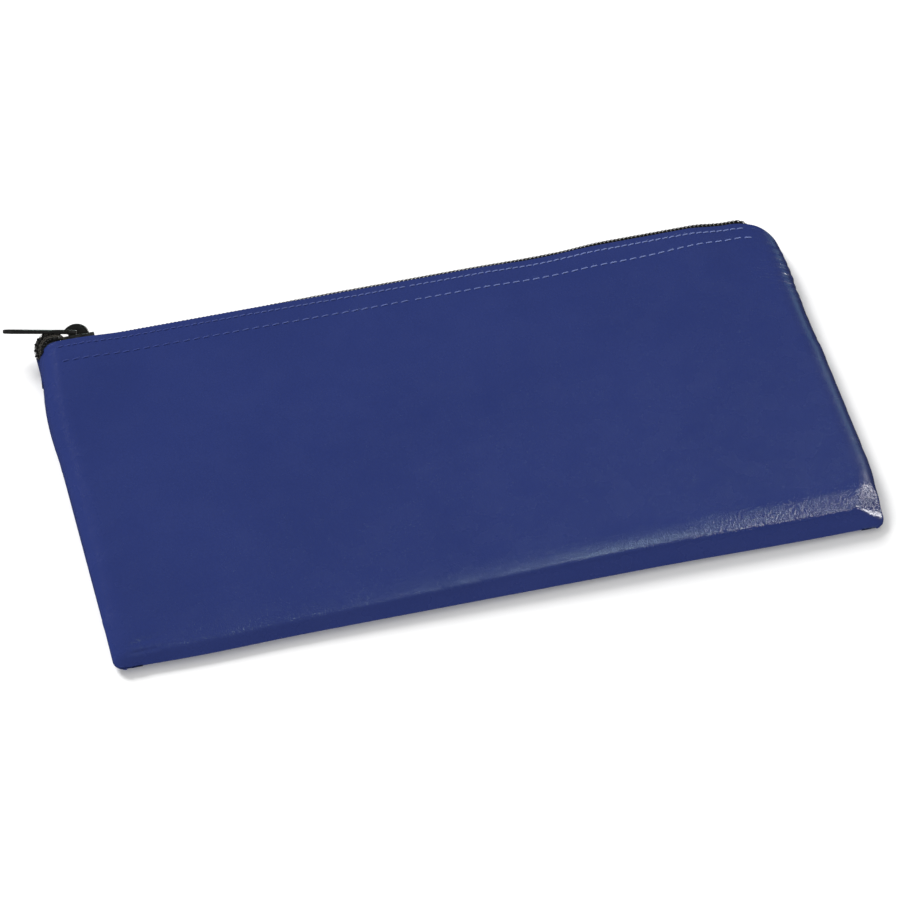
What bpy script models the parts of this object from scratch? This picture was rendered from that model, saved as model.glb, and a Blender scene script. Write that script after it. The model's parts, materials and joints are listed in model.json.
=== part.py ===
"""Zippered cash deposit bag in leather-like vinyl, 11 by 6 inches, lying flat with its zipper closed.

Metres, +Z up. The origin is the middle of the back panel's flat underside, which lies on the table.
+X runs along the zipper, from its closed end to its open end, and +Y points from the bottom fold to
the mouth. The zipper chain lies in its own slanted frame, made by the empty zipper_frame: there, X
runs along the chain, -Y towards the front panel, +Y towards the back panel, and +Z out of the bag.
"""

import math

import bmesh
import bpy

MM = 0.001

# The bag's outline
WIDTH = 279.4 * MM
FOLD_Y = -76.2 * MM
FRONT_EDGE_Y = 71.4 * MM
SEAM_BULGE = 1.2 * MM
SEAM_X = WIDTH / 2 - SEAM_BULGE
SEAM_Z = 4.0 * MM
GAP = 0.3 * MM

# The vinyl sheet
VINYL = 0.6 * MM
MOUTH_HEIGHT = 10.6 * MM
FOLD_HEIGHT_LEFT = 7.0 * MM
FOLD_HEIGHT_RIGHT = 10.4 * MM
MOUTH_FLAT_Y = 52 * MM
SIDE_ROUND = 8.4 * MM
FOLD_ROUND = 10 * MM
WALL_STEPS = 5
ALLOWANCE = 6.4 * MM
ALLOWANCE_ENDS_Y = (-67 * MM, 57 * MM)
SIDE_STATIONS = [x * MM for x in (-100, -60, -20, 20, 60, 100)]
FRONT_STATIONS = [y * MM for y in (-45, -20, 10, 35, 52, 62)]
BACK_STATIONS = [y * MM for y in (-45, -20, 10, 35, 52, 66)]
LIP_STEPS = 5

# The mouth's two corners are rounded off: how far along X, and how far down Y
CORNER_LEFT = (5 * MM, 7 * MM)
CORNER_RIGHT = (8.8 * MM, 18 * MM)
CORNER_FADE = 38 * MM
CORNER_EASE = 1.5

# The zipper chain
CHAIN_Y = 74.4 * MM
CHAIN_Z = 5.95 * MM
CHAIN_TILT = math.radians(41)
CHAIN_ENDS_X = (-133.4 * MM, 129.2 * MM)
MOUTH_SPLIT_X = 112 * MM
TAPE = 0.5 * MM
TAPE_Z = -0.35 * MM
TAPE_INNER_EDGE = 0.5 * MM
TAPE_RUN = 10 * MM
TAPE_END_RIGHT_X = 130.5 * MM
FRONT_BEND = (3.9 * MM, 1.0 * MM)
BACK_BEND = (3.7 * MM, 0.7 * MM)
COIL_PITCH = 1.5 * MM
COIL_TIP = 0.45 * MM
COIL_VALLEY = 1.0 * MM
COIL_BACK = 3.0 * MM
COIL_TOP = 1.75 * MM
CORD_Y = 1.85 * MM
CORD_Z = 0.5 * MM
CORD_R = 0.4 * MM
CORD_GROOVE = 1.1 * MM
HEM_STACK = 2 * VINYL + 0.2 * MM
LIP_RADIUS = BACK_BEND[1] + TAPE / 2 + HEM_STACK + 0.1 * MM

# The slider, in the zipper's frame, measured from its own middle
SLIDER_X = -122.2 * MM
SLIDER_HALF_LENGTH = 6.0 * MM
SLIDER_HALF_WIDTH = 4.1 * MM
SLIDER_TAIL_HALF_WIDTH = 3.75 * MM
SLIDER_TOP = 3.6 * MM
SLIDER_CEILING = 2.0 * MM
SLIDER_FLOOR = -0.8 * MM
SLIDER_BOTTOM = -1.6 * MM
SLIDER_SHOULDER = 1.6 * MM
SLIDER_TOE = 0.9 * MM
SLIDER_BEVEL = 0.3 * MM
SINK = 0.4 * MM
FLANGE_INSIDE = 3.3 * MM
FLANGE_LOW = 0.2 * MM
POST_X = (-5.3 * MM, -2.6 * MM)
POST_HALF = 0.2 * MM
LUG_X = (2.4 * MM, 3.1 * MM)
LUG_TOP = 4.6 * MM
LUG_HALF = 0.9 * MM
CAP_OUTSIDE = (4.8 * MM, 4.1 * MM)
CAP_INSIDE = (3.75 * MM, 3.15 * MM)
CAP_BASE = SLIDER_TOP + 0.12 * MM
CAP_HALF = 1.4 * MM
CAP_STEPS = 14
CAP_BEVEL = 0.25 * MM

# The pull tab and the lock pawl under the cap
HINGE_X = -0.4 * MM
HINGE_Z = 4.7 * MM
TAB_REST = math.radians(10.6)
TAB_THICK = 1.4 * MM
TAB_LENGTH = 26.4 * MM
TAB_EYE = (0.55 * MM, 5.9 * MM)
TAB_EYE_HALF = 1.75 * MM
TAB_HEAD_HALF = 2.9 * MM
TAB_WAIST_HALF = 2.2 * MM
TAB_END_HALF = 3.1 * MM
TAB_HOLE_R = 1.3 * MM
TAB_BEVEL = 0.38 * MM
PAWL_CROWN = (3.1 * MM, 2.75 * MM)
PAWL_CROWN_ENDS = (math.radians(45), math.radians(132))
PAWL_STEPS = 8
PAWL_BLOCK_X = (1.1 * MM, 2.15 * MM)
PAWL_LOW_Z = 3.8 * MM
PAWL_LEG_X = (1.5 * MM, 1.9 * MM)
PAWL_TIP_Z = 1.5 * MM
BAR_ROOM = 1.1 * MM
PAWL_HALF = 0.9 * MM
PAWL_LEG_HALF = 0.25 * MM
PAWL_SLOT = (1.1 * MM, 2.3 * MM)
PAWL_SLOT_HALF = 0.5 * MM

# The sewing thread
THREAD_R = 0.17 * MM
THREAD_LIFT = THREAD_R + 0.1 * MM
EDGE_ROW = 2.0 * MM
HEM_ROW = 8.5 * MM
ROW_HALF = 127 * MM
SEAM_ROW_X = SEAM_X - 3 * MM
SEAM_ROW_ENDS_Y = (-64 * MM, 50 * MM)
LIP_ROW_ANGLE = math.radians(-32)
BACK_HEM_ROW = 3 * MM

# Colour, roughness and metallic value of each material
COLOURS = {
    "vinyl": ((0.028, 0.042, 0.162, 1), 0.45, 0.0),
    "tape": ((0.012, 0.012, 0.012, 1), 0.9, 0.0),
    "coil": ((0.016, 0.016, 0.015, 1), 0.4, 0.0),
    "cord": ((0.020, 0.020, 0.020, 1), 0.9, 0.0),
    "thread": ((0.060, 0.085, 0.240, 1), 0.7, 0.0),
    "metal": ((0.025, 0.025, 0.024, 1), 0.35, 0.8),
    "spring": ((0.45, 0.45, 0.44, 1), 0.3, 1.0),
}


def clear_scene():
    for obj in list(bpy.data.objects):
        bpy.data.objects.remove(obj, do_unlink=True)


def material(name):
    found = bpy.data.materials.get(name)
    if found:
        return found
    colour, roughness, metallic = COLOURS[name]
    made = bpy.data.materials.new(name)
    made.use_nodes = True
    shader = made.node_tree.nodes["Principled BSDF"]
    shader.inputs["Base Color"].default_value = colour
    shader.inputs["Roughness"].default_value = roughness
    shader.inputs["Metallic"].default_value = metallic
    return made


def add(name, data, finish, parent=None, place=(0, 0, 0)):
    """A new object holding data, in a material, under an optional parent."""
    obj = bpy.data.objects.new(name, data)
    bpy.context.scene.collection.objects.link(obj)
    if finish:
        data.materials.append(material(finish))
    obj.parent = parent
    obj.location = place
    return obj


def empty(name, place, parent=None):
    obj = bpy.data.objects.new(name, None)
    bpy.context.scene.collection.objects.link(obj)
    obj.parent = parent
    obj.location = place
    return obj


def mesh_of(bm, name):
    bmesh.ops.recalc_face_normals(bm, faces=bm.faces)
    mesh = bpy.data.meshes.new(name)
    bm.to_mesh(mesh)
    bm.free()
    mesh.shade_smooth()
    mesh.set_sharp_from_angle(angle=math.radians(40))
    return mesh


def extruded(name, corners, along):
    """A prism: the closed outline of 3-D corners, swept by the vector along."""
    bm = bmesh.new()
    face = bm.faces.new([bm.verts.new(corner) for corner in corners])
    swept = bmesh.ops.extrude_face_region(bm, geom=[face])["geom"]
    moved = [item for item in swept if isinstance(item, bmesh.types.BMVert)]
    bmesh.ops.translate(bm, vec=along, verts=moved)
    return mesh_of(bm, name)


def prism_z(name, outline, low, high):
    """The (x, y) outline, extruded from z = low to z = high."""
    return extruded(name, [(x, y, low) for x, y in outline], (0, 0, high - low))


def prism_x(name, outline, start, end):
    """The (y, z) outline, extruded from x = start to x = end."""
    return extruded(name, [(start, y, z) for y, z in outline], (end - start, 0, 0))


def box(name, x, y, z):
    """A box over three (low, high) ranges."""
    return prism_x(name, [(y[0], z[0]), (y[1], z[0]), (y[1], z[1]), (y[0], z[1])], *x)


def arc(centre, radius, start, end, steps):
    """Points on a circle from one angle to another, in radians, both ends counted."""
    return [
        (
            centre[0] + radius * math.cos(start + (end - start) * i / steps),
            centre[1] + radius * math.sin(start + (end - start) * i / steps),
        )
        for i in range(steps + 1)
    ]


def bevel(obj, width, segments=2):
    modifier = obj.modifiers.new("rounded edges", "BEVEL")
    modifier.width = width
    modifier.segments = segments
    modifier.limit_method = "ANGLE"
    modifier.angle_limit = math.radians(40)


def boolean(obj, other, operation):
    """Joins or cuts obj with a helper mesh, which stays out of the build."""
    helper = add(f"{obj.name}_{operation.lower()}_{len(obj.modifiers)}", other, None, obj.parent)
    helper.hide_render = True
    helper.display_type = "WIRE"
    modifier = obj.modifiers.new(operation.lower(), "BOOLEAN")
    modifier.operation = operation
    modifier.solver = "EXACT"
    modifier.object = helper


# ---------------------------------------------------------------- the two vinyl panels


def quarter_wall(flat_end, length):
    """(distance, lift) down a rounded wall: lift is 1 where it leaves the flat and 0 at the seam."""
    angles = [math.pi / 2 * i / WALL_STEPS for i in range(WALL_STEPS + 1)]
    return [(flat_end + length * math.sin(a), math.cos(a)) for a in angles]


def side_stations():
    """(x, lift, on the allowance) from the left seam allowance to the right one."""
    wall = [(x, lift, False) for x, lift in quarter_wall(SEAM_X - SIDE_ROUND, SIDE_ROUND)]
    flat = [(x, 1.0, False) for x in SIDE_STATIONS]
    turned = (SEAM_X - ALLOWANCE, 0.0, True)
    right = [*wall, turned]
    left = [(-x, lift, on) for x, lift, on in reversed(right)]
    return left + flat + right


def corner_cut(x):
    """How far the mouth's edge drops back towards the fold at x."""
    along, down = CORNER_LEFT if x < 0 else CORNER_RIGHT
    past = (abs(x) - (SEAM_X - along)) / along
    return down * (1 - math.sqrt(1 - min(1, past) ** 2)) if past > 0 else 0.0


def cut_back(x, y):
    """y moved back where the mouth's corners are rounded off."""
    share = (y - (FRONT_EDGE_Y - CORNER_FADE)) / CORNER_FADE
    return y - corner_cut(x) * max(0.0, min(1.0, share)) ** CORNER_EASE


def front_height(x, y):
    """Height of the front panel's outer surface over the table, before its walls turn down."""
    side = (x + SEAM_X) / (2 * SEAM_X)
    at_fold = FOLD_HEIGHT_LEFT + (FOLD_HEIGHT_RIGHT - FOLD_HEIGHT_LEFT) * side
    share = min(1.0, (y - FOLD_Y) / (MOUTH_FLAT_Y - FOLD_Y))
    return at_fold + (MOUTH_HEIGHT - at_fold) * share


def fold_wall():
    wall = quarter_wall(-FOLD_Y - FOLD_ROUND, FOLD_ROUND)
    return [(-y, lift) for y, lift in reversed(wall)]


def front_rows():
    """(y, height or None, lift) from the fold to the mouth. None takes front_height."""
    flat = [(y, 1.0) for y in FRONT_STATIONS]
    return [(y, None, lift) for y, lift in [*fold_wall(), *flat, (FRONT_EDGE_Y, 1.0)]]


def back_rows():
    """The same for the back panel, which ends in a lip curled up round the zipper tape."""
    lip = arc(lip_middle(), LIP_RADIUS - VINYL / 2, -math.pi / 2, 0, LIP_STEPS)
    flat = [(y, VINYL / 2, 1.0) for y in BACK_STATIONS]
    wall = [(y, VINYL / 2, lift) for y, lift in fold_wall()]
    return wall + flat + [(y, z, 1.0) for y, z in lip]


def zipper_to_world(y, z):
    """(y, z) in the zipper's frame as (y, z) in the world."""
    turn = CHAIN_TILT - math.pi / 2
    return (
        CHAIN_Y + y * math.cos(turn) - z * math.sin(turn),
        CHAIN_Z + y * math.sin(turn) + z * math.cos(turn),
    )


def lip_middle():
    """The centre that the back tape and the back panel's lip both bend round."""
    return zipper_to_world(BACK_BEND[0], TAPE_Z - BACK_BEND[1])


def panel(name, rows, seam_z):
    """A dished sheet with its side seam allowances turned in, thickened to the vinyl's thickness."""
    columns = side_stations()
    low, high = ALLOWANCE_ENDS_Y
    bm = bmesh.new()
    grid = []
    for y, height, lift_y in rows:
        line = []
        for x, lift_x, on_allowance in columns:
            edge_x = math.copysign(SEAM_X, x) if on_allowance else x
            target = front_height(x, y) - VINYL / 2 if height is None else height
            z = seam_z + (target - seam_z) * lift_x * lift_y
            line.append(bm.verts.new((x, cut_back(edge_x, y), z)))
        grid.append(line)
    for i in range(len(rows) - 1):
        for j in range(len(columns) - 1):
            turned = columns[j][2] or columns[j + 1][2]
            if turned and not (low <= rows[i][0] and rows[i + 1][0] <= high):
                continue
            corners = [grid[i][j], grid[i][j + 1], grid[i + 1][j + 1], grid[i + 1][j]]
            bm.faces.new(corners)
    bmesh.ops.delete(bm, geom=[v for v in bm.verts if not v.link_faces], context="VERTS")
    obj = add(name, mesh_of(bm, name), "vinyl")
    sheet = obj.modifiers.new("sheet", "SOLIDIFY")
    sheet.thickness = VINYL
    sheet.offset = 0
    sheet.use_even_offset = True
    return obj


# ---------------------------------------------------------------- the zipper chain


def ribbon(path, thickness):
    """The closed outline of a strip of that thickness along a path of (y, z) points."""
    left, right = [], []
    for i, (y, z) in enumerate(path):
        before, after = path[max(0, i - 1)], path[min(len(path) - 1, i + 1)]
        run, rise = after[0] - before[0], after[1] - before[1]
        size = math.hypot(run, rise)
        off_y, off_z = -rise / size * thickness / 2, run / size * thickness / 2
        left.append((y + off_y, z + off_z))
        right.append((y - off_y, z - off_z))
    return left + right[::-1]


def tape_path(bend, side):
    """The middle of a tape in the zipper's frame: flat under the coil, round the bend, into the bag.

    side is -1 for the front tape and 1 for the back one. The run ends level with the table, so
    its heading there is the world's -Y as the zipper's frame sees it.
    """
    start, radius = bend
    last = math.pi - CHAIN_TILT if side < 0 else -CHAIN_TILT
    turn = arc((side * start, TAPE_Z - radius), radius, math.pi / 2, last, 4 if side < 0 else 6)
    run, rise = -TAPE_RUN * math.sin(CHAIN_TILT), -TAPE_RUN * math.cos(CHAIN_TILT)
    end = (turn[-1][0] + run, turn[-1][1] + rise)
    return [(side * TAPE_INNER_EDGE, TAPE_Z), *turn, end]


def tape(name, bend, side, start, end, frame):
    outline = ribbon(tape_path(bend, side), TAPE)
    return add(name, prism_x(name, outline, start, end), "tape", frame)


def coil(name, side, start, end, frame):
    """A comb of coil teeth pointing at the chain's middle, hollow underneath for the filler cord."""
    count = int((end - start) / COIL_PITCH)
    first = start + (end - start - count * COIL_PITCH) / 2
    comb = [(start, side * COIL_BACK), (start, side * COIL_VALLEY)]
    for i in range(count):
        comb.append((first + (i + 0.02) * COIL_PITCH, side * COIL_VALLEY))
        comb.append((first + (i + 0.5) * COIL_PITCH, side * COIL_TIP))
    comb += [(end, side * COIL_VALLEY), (end, side * COIL_BACK)]
    obj = add(name, prism_z(name, comb, 0, COIL_TOP), "coil", frame)
    across = sorted((side * (CORD_Y - CORD_GROOVE / 2), side * (CORD_Y + CORD_GROOVE / 2)))
    groove = box(name + "_groove", (start - MM, end + MM), across, (-MM, CORD_Z + CORD_GROOVE / 2))
    boolean(obj, groove, "DIFFERENCE")
    return obj


def filler_cord(name, side, start, end, frame):
    section = arc((side * CORD_Y, CORD_Z), CORD_R, 0, 2 * math.pi, 8)[:-1]
    return add(name, prism_x(name, section, start, end), "cord", frame)


def zipper_chain(frame):
    """Both halves of the chain. The front half is cut where the mouth stops opening."""
    left, right = CHAIN_ENDS_X
    split, half_gap = MOUTH_SPLIT_X, GAP / 2
    stretches = {
        "front_{}_left_end": (left, -split - half_gap),
        "front_{}": (-split + half_gap, split - half_gap),
        "front_{}_right_end": (split + half_gap, right),
    }
    for pattern, (start, end) in stretches.items():
        tape_end = TAPE_END_RIGHT_X if end == right else end
        tape(pattern.format("tape"), FRONT_BEND, -1, start, tape_end, frame)
        coil(pattern.format("coil"), -1, start, end, frame)
    tape("back_tape", BACK_BEND, 1, left, TAPE_END_RIGHT_X, frame)
    coil("back_coil", 1, left, right, frame)
    filler_cord("front_filler_cord", -1, -split + half_gap, split - half_gap, frame)
    filler_cord("back_filler_cord", 1, left, right, frame)


# ---------------------------------------------------------------- the slider


def slider_outline():
    """Half-widths from the divided end at -X to the narrow tail at +X, with rounded corners."""
    length, wide, tail = SLIDER_HALF_LENGTH, SLIDER_HALF_WIDTH, SLIDER_TAIL_HALF_WIDTH
    shoulder, toe = SLIDER_SHOULDER, SLIDER_TOE
    half = arc((-length + shoulder, wide - shoulder), shoulder, math.pi, math.pi / 2, 4)
    half += [(0.2 * length, wide)]
    half += arc((length - toe, tail - toe), toe, math.pi / 2, 0, 3)
    return half + [(x, -y) for x, y in reversed(half)]


def slider_body(frame):
    """Two plates joined only by the divider post, with side flanges that leave slots for the tapes."""
    obj = add(
        "slider_body",
        prism_z("slider_body", slider_outline(), SLIDER_BOTTOM, SLIDER_TOP),
        "metal",
        frame,
    )
    bevel(obj, SLIDER_BEVEL)
    through = (-2 * SLIDER_HALF_LENGTH, 2 * SLIDER_HALF_LENGTH)
    channel = (-FLANGE_INSIDE, FLANGE_INSIDE)
    boolean(obj, box("channel", through, channel, (SLIDER_FLOOR, SLIDER_CEILING)), "DIFFERENCE")
    for side in (-1, 1):
        across = sorted((side * FLANGE_INSIDE, side * 2 * SLIDER_HALF_WIDTH))
        slot = box("slot", through, across, (2 * SLIDER_BOTTOM, FLANGE_LOW))
        boolean(obj, slot, "DIFFERENCE")
    post_z = (SLIDER_FLOOR - SINK, SLIDER_CEILING + SINK)
    boolean(obj, box("post", POST_X, (-POST_HALF, POST_HALF), post_z), "UNION")
    for side in (-1, 1):
        along = sorted((side * LUG_X[0], side * LUG_X[1]))
        lug = box("lug", along, (-LUG_HALF, LUG_HALF), (SLIDER_TOP - SINK, LUG_TOP))
        boolean(obj, lug, "UNION")
    across = (-PAWL_SLOT_HALF, PAWL_SLOT_HALF)
    slot_z = (SLIDER_CEILING - SINK, SLIDER_TOP + SINK)
    boolean(obj, box("pawl_slot", PAWL_SLOT, across, slot_z), "DIFFERENCE")
    return obj


def crown(axes, start, end, steps):
    """(x, z) points on an ellipse that stands on the cap's base."""
    angles = [start + (end - start) * i / steps for i in range(steps + 1)]
    return [(axes[0] * math.cos(a), CAP_BASE + axes[1] * math.sin(a)) for a in angles]


def slider_cap(frame):
    """The arched crown over the tab's bar, held by the two lugs of the body."""
    outside = crown(CAP_OUTSIDE, 0, math.pi, CAP_STEPS)
    inside = crown(CAP_INSIDE, math.pi, 0, CAP_STEPS)
    corners = [(x, -CAP_HALF, z) for x, z in outside + inside]
    obj = add("slider_cap", extruded("slider_cap", corners, (0, 2 * CAP_HALF, 0)), "metal", frame)
    bevel(obj, CAP_BEVEL)
    return obj


def lock_pawl(frame):
    """A hook over the tab's bar with a leg through the top plate, down between the two coils."""
    outline = crown(PAWL_CROWN, *PAWL_CROWN_ENDS, PAWL_STEPS)
    outline += arc((HINGE_X, HINGE_Z), BAR_ROOM, math.pi / 2, math.radians(30), 4)
    outline += [(PAWL_BLOCK_X[0], PAWL_LOW_Z), (PAWL_BLOCK_X[1], PAWL_LOW_Z)]
    corners = [(x, -PAWL_HALF, z) for x, z in outline]
    hook = extruded("lock_pawl", corners, (0, 2 * PAWL_HALF, 0))
    obj = add("lock_pawl", hook, "spring", frame)
    leg_z = (PAWL_TIP_Z, PAWL_LOW_Z + SINK)
    boolean(obj, box("leg", PAWL_LEG_X, (-PAWL_LEG_HALF, PAWL_LEG_HALF), leg_z), "UNION")
    return obj


def tab_outline():
    """The tab lying along -X from its bar at the origin: head, waist, and a wide round end."""
    front, length, end = TAB_EYE[0], TAB_LENGTH, TAB_END_HALF
    half = [
        (front, TAB_HEAD_HALF - 0.5 * MM),
        (front - 0.5 * MM, TAB_HEAD_HALF),
        (-TAB_EYE[1], TAB_HEAD_HALF),
        (-TAB_EYE[1] - 2.6 * MM, TAB_WAIST_HALF),
        (-length + 2.2 * end, end),
    ]
    half += arc((-length + end, 0), end, math.pi / 2, math.pi, 7)
    return half + [(x, -y) for x, y in reversed(half[:-1])]


def pull_tab(frame):
    """The tab, turning on its front bar, which passes under the cap."""
    hinge = empty("tab_hinge", (HINGE_X, 0, HINGE_Z), frame)
    hinge.rotation_euler.y = TAB_REST
    half_thick = TAB_THICK / 2
    obj = add(
        "pull_tab", prism_z("pull_tab", tab_outline(), -half_thick, half_thick), "metal", hinge
    )
    deep = (-TAB_THICK, TAB_THICK)
    eye = box("eye", (-TAB_EYE[1], -TAB_EYE[0]), (-TAB_EYE_HALF, TAB_EYE_HALF), deep)
    boolean(obj, eye, "DIFFERENCE")
    hole = arc((-TAB_LENGTH + TAB_END_HALF, 0), TAB_HOLE_R, 0, 2 * math.pi, 16)[:-1]
    boolean(obj, prism_z("hole", hole, *deep), "DIFFERENCE")
    bevel(obj, TAB_BEVEL)
    return obj


# ---------------------------------------------------------------- the sewing thread


def thread(name, points):
    """A row of stitches as one plain run of thread."""
    curve = bpy.data.curves.new(name, "CURVE")
    curve.dimensions = "3D"
    curve.bevel_depth = THREAD_R
    curve.bevel_resolution = 2
    curve.use_fill_caps = True
    spline = curve.splines.new("POLY")
    spline.points.add(len(points) - 1)
    for point, place in zip(spline.points, points):
        point.co = (*place, 1)
    return add(name, curve, "thread")


def stitch_rows():
    """Two rows along the mouth on each panel, and one down each side seam inside the bag."""
    xs = [ROW_HALF * (2 * i / 8 - 1) for i in range(9)]
    for name, back in (("front_edge_stitch", EDGE_ROW), ("front_hem_stitch", HEM_ROW)):
        y = FRONT_EDGE_Y - back
        thread(name, [(x, y, front_height(x, y) + THREAD_LIFT) for x in xs])
    y, z = arc(lip_middle(), LIP_RADIUS + THREAD_LIFT, LIP_ROW_ANGLE, 0, 1)[0]
    thread("back_edge_stitch", [(x, y, z) for x in (-ROW_HALF, ROW_HALF)])
    y, z = FRONT_EDGE_Y - BACK_HEM_ROW, VINYL + THREAD_LIFT
    thread("back_hem_stitch", [(x, y, z) for x in (-ROW_HALF, ROW_HALF)])
    z = SEAM_Z - GAP / 2 - VINYL - THREAD_LIFT
    for name, x in (("left_seam_stitch", -SEAM_ROW_X), ("right_seam_stitch", SEAM_ROW_X)):
        thread(name, [(x, y, z) for y in SEAM_ROW_ENDS_Y])


def main():
    clear_scene()
    panel("front_panel", front_rows(), SEAM_Z + GAP / 2 + VINYL / 2)
    panel("back_panel", back_rows(), SEAM_Z - GAP / 2 - VINYL / 2)
    zipper_frame = empty("zipper_frame", (0, CHAIN_Y, CHAIN_Z))
    zipper_frame.rotation_euler.x = CHAIN_TILT - math.pi / 2
    zipper_chain(zipper_frame)
    slider_frame = empty("slider_frame", (SLIDER_X, 0, 0), zipper_frame)
    slider_body(slider_frame)
    slider_cap(slider_frame)
    lock_pawl(slider_frame)
    pull_tab(slider_frame)
    stitch_rows()


main()
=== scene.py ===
"""The looks of the zippered cash deposit bag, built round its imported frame.

The bag lies on its back panel. +X runs along the zipper, away from the slider, +Y from the bottom
fold to the mouth, +Z up. The zipper chain has its own slanted frame, in which X runs along the
chain, -Y towards the front panel, +Y towards the back panel, and +Z out of the bag.
"""

import json
import math

import bpy
import numpy as np
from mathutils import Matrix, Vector, noise


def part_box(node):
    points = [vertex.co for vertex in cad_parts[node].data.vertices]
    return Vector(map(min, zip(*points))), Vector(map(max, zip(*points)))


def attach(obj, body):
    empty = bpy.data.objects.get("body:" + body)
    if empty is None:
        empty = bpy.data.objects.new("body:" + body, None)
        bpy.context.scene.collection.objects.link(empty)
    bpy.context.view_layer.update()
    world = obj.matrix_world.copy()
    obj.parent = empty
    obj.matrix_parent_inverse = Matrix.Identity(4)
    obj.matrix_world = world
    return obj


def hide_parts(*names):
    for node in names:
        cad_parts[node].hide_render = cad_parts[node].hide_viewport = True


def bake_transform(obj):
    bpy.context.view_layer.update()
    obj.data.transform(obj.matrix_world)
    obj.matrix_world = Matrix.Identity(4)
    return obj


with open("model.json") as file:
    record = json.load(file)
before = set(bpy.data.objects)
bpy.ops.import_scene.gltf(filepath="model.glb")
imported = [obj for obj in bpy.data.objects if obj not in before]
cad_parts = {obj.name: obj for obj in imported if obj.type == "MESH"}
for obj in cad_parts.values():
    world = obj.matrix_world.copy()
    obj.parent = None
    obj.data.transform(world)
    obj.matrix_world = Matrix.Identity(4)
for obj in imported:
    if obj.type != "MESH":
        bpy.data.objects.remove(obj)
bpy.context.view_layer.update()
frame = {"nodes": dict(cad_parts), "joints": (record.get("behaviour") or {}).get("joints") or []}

MM = 0.001
NODES = frame["nodes"]
JOINTS = {joint["name"]: joint for joint in frame["joints"]}

# The outline, from the frame
SEAM_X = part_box("front_panel")[1].x + 0.7 * MM
FOLD_Y = JOINTS["mouth_open"]["pos_m"][1]
SEAM_Z = JOINTS["mouth_open"]["pos_m"][2]
MOUTH_EDGE_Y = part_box("front_panel")[1].y + 1.0 * MM

# The vinyl sheet
VINYL = 0.45 * MM
SIDE_ROUND = 8.4 * MM
FOLD_ROUND = 5.6 * MM
FOLD_CROWN = 0.28
FOLD_CROWN_Y = 13 * MM
FOLD_SLOPE = 1.45
FOLD_FOOT = 0.08
FOLD_SHOULDER = 7.0
FOLD_SEAM_Z = (2.7 * MM, 2.0 * MM)
FOLD_FLARE = (0.6 * MM, 0.9 * MM)
UNDER_ROUND = 6.5 * MM
MOUTH_FLAT_Y = 40 * MM
MOUTH_HEIGHT = 11.1 * MM
FOLD_HEIGHT = (5.7 * MM, 9.9 * MM)
SEAM_ROLL = 0.5 * MM
ALLOWANCE = 6 * MM
HEM_TURN = 0.5 * MM
HEM_DEPTH = 11 * MM
COLUMN_STEP = 0.8 * MM
ROW_STEP = 1.0 * MM
HEM_STEP = 0.5 * MM
HEM_ROWS_FROM = 12 * MM
CORNER_LEFT = (5.5 * MM, 5.4 * MM)
CORNER_RIGHT = (17 * MM, 16 * MM)
CORNER_FADE = 38 * MM
CORNER_EASE = 1.5
FOLD_CORNERS = (4 * MM, 3.5 * MM)
FACET = ((130.5 * MM, -71 * MM, 9.3 * MM), (-0.532, 0.365))
FACET_FROM_X = 0.8
CREASES = ((-128 * MM, -68.5 * MM, 0.10), (-129 * MM, -72.5 * MM, 0.02))
FACET_ROUND = 0.55 * MM
SOFT_CORE = 0.25
LINING_FROM = (12, 18)

# The sewing thread
STITCH = 3.7 * MM
STITCH_GAP = 0.9 * MM
EDGE_STITCH = 2.6 * MM
EDGE_GAP = 0.35 * MM
STITCH_SLANT = 0.30 * MM
THREAD = 0.21 * MM
EDGE_ROW = 3.1 * MM
HEM_ROW = (10.3 * MM, 7.9 * MM)
ROW_ENDS = (-131 * MM, 130 * MM)

# The zipper chain, in its own frame
AXIS_OUT = np.array(JOINTS["pawl_lift"]["axis"])
AXIS_BACK = np.array(JOINTS["tab_swing"]["axis"])
TAB_BAR_Z = 4.7 * MM
CHAIN_ORIGIN = np.array((0, *JOINTS["tab_swing"]["pos_m"][1:])) - TAB_BAR_Z * AXIS_OUT
CHAIN_TILT = math.atan2(AXIS_OUT[2], AXIS_OUT[1])
TAPE = 0.5 * MM
TAPE_Z = -0.35 * MM
TAPE_INNER_EDGE = 0.5 * MM
TAPE_RUN = 10 * MM
TAPE_TUCK = 4.1 * MM
FRONT_BEND = (4.6 * MM, 1.0 * MM)
BACK_BEND = (3.7 * MM, 0.7 * MM)
COIL_PITCH = 1.5 * MM
COIL_WIRE = 0.36 * MM
COIL_Y = (0.25 * MM, 3.0 * MM)
COIL_Z = (0.1 * MM, 1.72 * MM)
BACK_COIL_DROP = 0.06 * MM
COIL_SEAMS = (1.15 * MM, 2.15 * MM)
COIL_SEAM_THREAD = 0.11 * MM
COIL_SEAM_SINK = 6
CORD_PLACE = (1.63 * MM, 0.88 * MM)
CORD_RADIUS = 0.46 * MM
CHAIN_ENDS = (-142.6 * MM, 131.5 * MM)

# Past the slider the chain humps up, rolls over, and runs down into the left side seam: places
# in millimetres, and the way its teeth face
PATH_STEPS = 12
LEFT_TURN_X = -126.4 * MM
LEFT_TURN = (
    ((-127.9, 75.5, 7.5), (0.00, 0.60, 0.80)),
    ((-129.6, 76.4, 8.9), (-0.06, 0.42, 0.90)),
    ((-131.7, 76.7, 9.3), (-0.16, 0.30, 0.93)),
    ((-133.7, 76.5, 9.2), (-0.30, 0.24, 0.92)),
    ((-135.2, 75.4, 8.7), (-0.50, 0.18, 0.85)),
    ((-136.1, 73.9, 7.9), (-0.74, 0.12, 0.66)),
    ((-136.3, 72.1, 7.0), (-0.87, 0.06, 0.49)),
    ((-136.0, 70.2, 6.3), (-0.93, 0.00, 0.37)),
)

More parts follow.
